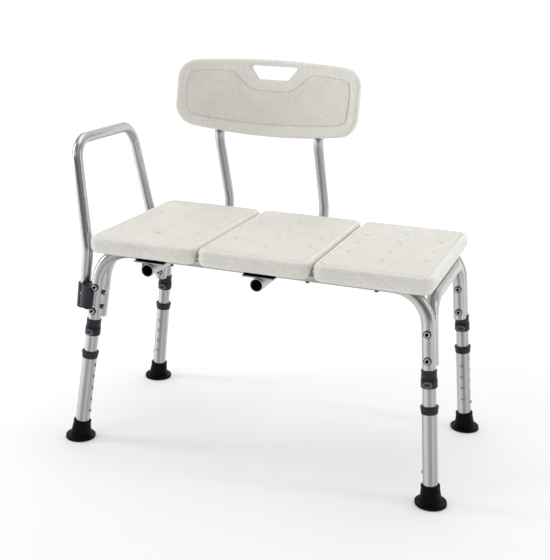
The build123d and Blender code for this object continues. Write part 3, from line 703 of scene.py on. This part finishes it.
# sections of (radius, height along the leg) in millimetres, from the bottom up
BOOT_SECTION = (
    (0.4, 1.2), (9.0, 1.2), (10.8, 1.1), (11.0, 0.1), (13.0, 0.1), (13.2, 1.3), (17.8, 1.3),
    (18.0, 0.1), (20.0, 0.1), (20.2, 1.3), (24.8, 1.3), (25.0, 0.1), (29.3, 0.05), (30.1, 0.5),
    (30.5, 1.4), (30.5, 5.2), (30.3, 6.2), (29.7, 6.9), (28.8, 7.1), (28.0, 6.9), (27.4, 6.5),
    (23.4, 6.9), (21.9, 7.4), (21.1, 8.6), (20.9, 10.0), (20.1, 15.5), (19.2, 22.0), (18.4, 28.0),
    (17.8, 33.0), (17.7, 34.4), (18.1, 35.1), (18.3, 36.2), (18.2, 37.8), (17.6, 38.7), (16.6, 39.0),
    (15.6, 38.6), (14.9, 37.4), (14.3, 36.0), (14.25, 30.0),
)
COLLAR_SECTION = [
    (14.32, 178.6), (15.1, 178.5), (15.5, 178.8), (15.75, 179.6), (15.9, 181.5), (16.15, 184.5),
    (16.45, 187.2), (16.75, 188.5), (17.0, 189.0), (17.2, 190.0), (17.2, 191.4), (17.0, 192.3),
    (16.4, 192.9), (15.4, 193.0), (13.5, 192.9), (13.02, 192.4), (13.02, 189.6), (14.32, 189.5),
]
SLEEVE_SECTION = [
    (12.75, 244.1), (13.2, 244.1), (13.2, 246.2), (14.0, 246.2), (14.45, 246.4), (14.68, 246.9),
    (14.7, 247.8), (14.55, 248.4), (14.5, 249.0), (14.5, 259.0), (14.7, 259.9), (14.75, 261.0),
    (14.6, 261.9), (14.1, 262.5), (13.4, 262.6), (12.75, 262.5),
]
TUBE_R, HOLE_R, HOLE_PITCH, PIN_S = 14.3, 3.7, 25.4, 63.0


# a hole's edge, from the tube's surface into its wall: radius, and height above the surface
RIM_STEPS = ((HOLE_R + 0.75, 0.04), (HOLE_R + 0.1, -0.1), (HOLE_R - 0.35, -0.6), (HOLE_R - 0.55, -1.35))
RIM_POINTS = 28


def hole_rims(leg):
    """The cut walls of a lower tube's height holes, each a shallow funnel through the tube's wall, coloured
    dark as painted shade in the holes.
    """
    foot, axis, side, back = leg_directions(leg)
    east = side if leg in ("front_left", "rear_right") else -side
    rows = [(east, PIN_S + HOLE_PITCH * i) for i in range(5)]
    facing = back if leg.startswith("front") else -back
    rows += [(facing, PIN_S + HOLE_PITCH * (i + 0.5)) for i in range(4)]
    points, faces = [], []
    for out, height in rows:
        across_hole = out.cross(axis)
        middle = foot + axis * height
        rings = []
        for radius, lift in RIM_STEPS:
            start = len(points)
            for k in range(RIM_POINTS):
                a = 2 * pi * k / RIM_POINTS
                u, v = radius * cos(a), radius * sin(a)
                reach = sqrt(TUBE_R**2 - u * u) + lift
                points.append(tuple(middle + out * reach + across_hole * u + axis * v))
            rings.append(list(range(start, start + RIM_POINTS)))
        for first, second in zip(rings, rings[1:]):
            faces += band(first, second, flip=True)
    return piece(f"{leg}_hole_rims", points, faces, hole_wall_shade, f"{leg}_foot", "frame_aluminium")


BOLT_HEIGHTS, BRACKET_HEIGHTS = (281.0, 331.0), (291.0, 321.0)
FRAME_R, TUBE_PAIR = 12.7, 25.5
HEAD_SEAT, NUT_REACH, BRACKET_WALL, BRACKET_TAIL = 13.9, 6.5, 4.0, 6.0


def bolt_sections(head, tail):
    """The turned sections of a button-head bolt and of the dark disc in its socket, painted shade."""
    top, floor = head - 3.2, head - 1.1
    body = [(3.2, floor), (3.4, top + 0.3), (3.75, top), (4.3, top + 0.12), (4.9, top + 0.5)]
    body += [(5.35, top + 1.1), (5.6, top + 1.9), (5.6, head), (3.0, head), (3.0, tail - 0.5)]
    body += [(2.5, tail), (0.05, tail)]
    return body, [(0.05, floor + 0.5), (1.6, floor + 0.45), (1.9, floor), (3.3, floor - 0.02)]


def bolt_skins(name, lines, replaced):
    """All the bolts of one node: (centre, direction, head, tail) for each."""
    points, faces, dark_points, dark_faces = [], [], [], []
    for centre, towards, head, tail in lines:
        body, socket = bolt_sections(head, tail)
        more, sides = lathe(body, centre, towards, len(points))
        points, faces = points + more, faces + sides
        more, sides = lathe(socket, centre, towards, len(dark_points))
        dark_points, dark_faces = dark_points + more, dark_faces + sides
    piece(f"{name}_skin", points, faces, chrome, "frame", "fastener_steel", replaced, crease=35)
    piece(f"{name}_sockets", dark_points, dark_faces, socket_shade_disc, "frame", "fastener_steel")


frame_lines, bracket_lines = [], []
for leg in LEG_LEAN:
    foot, axis, along, back = leg_directions(leg)
    front = 0.0 if leg.startswith("front") else -TUBE_PAIR
    for height in BOLT_HEIGHTS:
        tail = front + TUBE_PAIR + FRAME_R + NUT_REACH
        frame_lines.append((foot + axis * height, back, front - HEAD_SEAT, tail))
    if leg.endswith("left"):
        for height in BRACKET_HEIGHTS:
            ends = (-FRAME_R - BRACKET_WALL, FRAME_R + BRACKET_TAIL)
            bracket_lines.append((foot + axis * height, along, *ends))
bolt_skins("frame_bolts", frame_lines, "frame_bolts")
bolt_skins("bracket_bolts", bracket_lines, "bracket_bolts")

PRESS_HEIGHT, PAD_FACE = 236.5, 16.3
PAD_OVALS = ((5.6, 8.1), (4.45, 6.85))
BEAD_R, OVAL_STEPS, BEAD_STEPS = 0.42, 56, 8


def pad_rims(leg):
    """Two fine raised ovals round a release button, on the pad of its ring, coloured pale as a painted
    highlight on the ridges.
    """
    foot, axis, along, back = leg_directions(leg)
    middle = foot + axis * PRESS_HEIGHT - back * PAD_FACE
    points, faces = [], []
    for tall, wide in PAD_OVALS:
        start = len(points)
        for k in range(OVAL_STEPS):
            a = 2 * pi * k / OVAL_STEPS
            centre = middle + axis * tall * cos(a) + along * wide * sin(a)
            outer = (axis * wide * cos(a) + along * tall * sin(a)).normalized()
            for b in range(BEAD_STEPS):
                t = 2 * pi * b / BEAD_STEPS
                points.append(centre + outer * BEAD_R * cos(t) - back * BEAD_R * sin(t))
        for k in range(OVAL_STEPS):
            first = [start + k * BEAD_STEPS + b for b in range(BEAD_STEPS)]
            following = start + (k + 1) % OVAL_STEPS * BEAD_STEPS
            faces += band(first, [following + b for b in range(BEAD_STEPS)])
    return piece(f"{leg}_pad_rims", points, faces, pad_rim_highlight, "frame", "dark_plastic")


# a boot stands upright below the first height, and leans with its leg this much further up
BOOT_UPRIGHT = (4.0, 12.0)

for leg in LEG_LEAN:
    pad_rims(leg)
    hole_rims(leg)
    boot, foot_body = f"{leg}_boot", f"{leg}_foot"
    turned(f"{boot}_skin", leg, BOOT_SECTION, rubber, foot_body, "boot_rubber", boot, BOOT_UPRIGHT)
    turned(f"{leg}_collar_skin", leg, COLLAR_SECTION, slate, foot_body, "dark_plastic", f"{leg}_collar")
    turned(f"{leg}_sleeve_skin", leg, SLEEVE_SECTION, slate, "frame", "dark_plastic", "leg_sleeves")

# ---------------------------------------------------------------- camera, lights, floor

YAW, PITCH, ROLL = radians(19.06), radians(16.697), radians(1.894)
forward = Vector((-sin(YAW) * cos(PITCH), cos(YAW) * cos(PITCH), -sin(PITCH)))
level = Vector((cos(YAW), sin(YAW), 0))
upright = level.cross(forward)
right = level * cos(ROLL) + upright * sin(ROLL)
up = upright * cos(ROLL) - level * sin(ROLL)
camera_data = bpy.data.cameras.new("camera")
camera_data.sensor_fit = "HORIZONTAL"
camera_data.sensor_width = 36.0
camera_data.lens = 68.84
camera = bpy.data.objects.new("camera", camera_data)
facing = Matrix((right, up, -forward)).transposed()
camera.matrix_world = Matrix.Translation((0.657832, -1.952479, 0.956317)) @ facing.to_4x4()
scene.collection.objects.link(camera)
scene.camera = camera


def softbox(name, place, target, size, watts, colour=(1, 1, 1)):
    data = bpy.data.lights.new(name, "AREA")
    data.shape = "RECTANGLE"
    data.size, data.size_y = size
    data.energy = watts
    data.color = colour
    lamp = bpy.data.objects.new(name, data)
    lamp.location = place
    lamp.rotation_euler = (Vector(target) - Vector(place)).to_track_quat("-Z", "Y").to_euler()
    scene.collection.objects.link(lamp)


softbox("overhead_softbox", (-0.2, 0.5, 2.6), (0, 0.1, 0.4), (2.2, 2.0), 19)
softbox("left_strip", (-2.1, -0.5, 1.2), (0, 0, 0.4), (0.45, 2.0), 13)
softbox("right_strip", (2.3, 0.1, 1.1), (0, 0, 0.4), (0.35, 2.0), 9)
softbox("front_fill", (-1.5, -2.0, 1.8), (-0.1, 0, 0.5), (0.8, 0.8), 5)

world = bpy.data.worlds.new("studio")
world.use_nodes = True
sky = world.node_tree
ramp = sky.nodes.new("ShaderNodeValToRGB")
ramp.color_ramp.elements[0].position = 0.45
ramp.color_ramp.elements[0].color = (0.12, 0.12, 0.125, 1)
ramp.color_ramp.elements[1].position = 0.80
ramp.color_ramp.elements[1].color = (0.55, 0.55, 0.55, 1)
axes = sky.nodes.new("ShaderNodeSeparateXYZ")
place = sky.nodes.new("ShaderNodeTexCoord")
lift = sky.nodes.new("ShaderNodeMapRange")
lift.inputs["From Min"].default_value = -1.0
sky.links.new(place.outputs["Generated"], axes.inputs["Vector"])
sky.links.new(axes.outputs["Z"], lift.inputs["Value"])
sky.links.new(lift.outputs["Result"], ramp.inputs["Fac"])
sky.links.new(ramp.outputs["Color"], sky.nodes["Background"].inputs["Color"])
sky.nodes["Background"].inputs["Strength"].default_value = 1.0
scene.world = world
scene.view_settings.view_transform = "Standard"
scene.view_settings.look = "None"
scene.view_settings.exposure = 0.0

# a pale sweep: floor, then a wide curve up into a wall behind the bench; it glows, more the further from
# the bench, painted light that keeps the far floor white
sweep = []
for x in np.linspace(-14, 14, 9):
    sweep.append([(x, -9.0, 0.0), (x, 3.0, 0.0)])
    sweep[-1] += [(x, 3.0 + 3.0 * sin(radians(a)), 3.0 - 3.0 * cos(radians(a))) for a in range(6, 91, 6)]
    sweep[-1] += [(x, 6.0, 8.0)]
across = len(sweep[0])
paper_mesh = bpy.data.meshes.new("studio_floor")
BELOW_FEET = 0.0003
paper_points = [(x, y, z - BELOW_FEET) for line in sweep for x, y, z in line]
paper_mesh.from_pydata(paper_points, [], quads(len(sweep), across))
paper_mesh.shade_smooth()
floor = bpy.data.objects.new("studio_floor", paper_mesh)
scene.collection.objects.link(floor)
paper = Shader("studio_paper")
length = paper.add("VectorMath", operation="LENGTH")
paper.link(paper.coords, length.inputs[0])
distance = length.outputs["Value"]
paper_mesh.materials.append(
    paper.set(
        Base_Color=paper.blend(paper.noise(3.0, 2.0), (0.80, 0.80, 0.80), (0.82, 0.82, 0.82)),
        Roughness=0.9,
        Specular_IOR_Level=0.2,
        # painted light: the paper glows, faintly near the bench and more strongly further away
        Emission_Color=(1.0, 1.0, 1.0),
        Emission_Strength=paper.span(distance, 0.20, 0.62, 0.7, 3.2),
    )
)
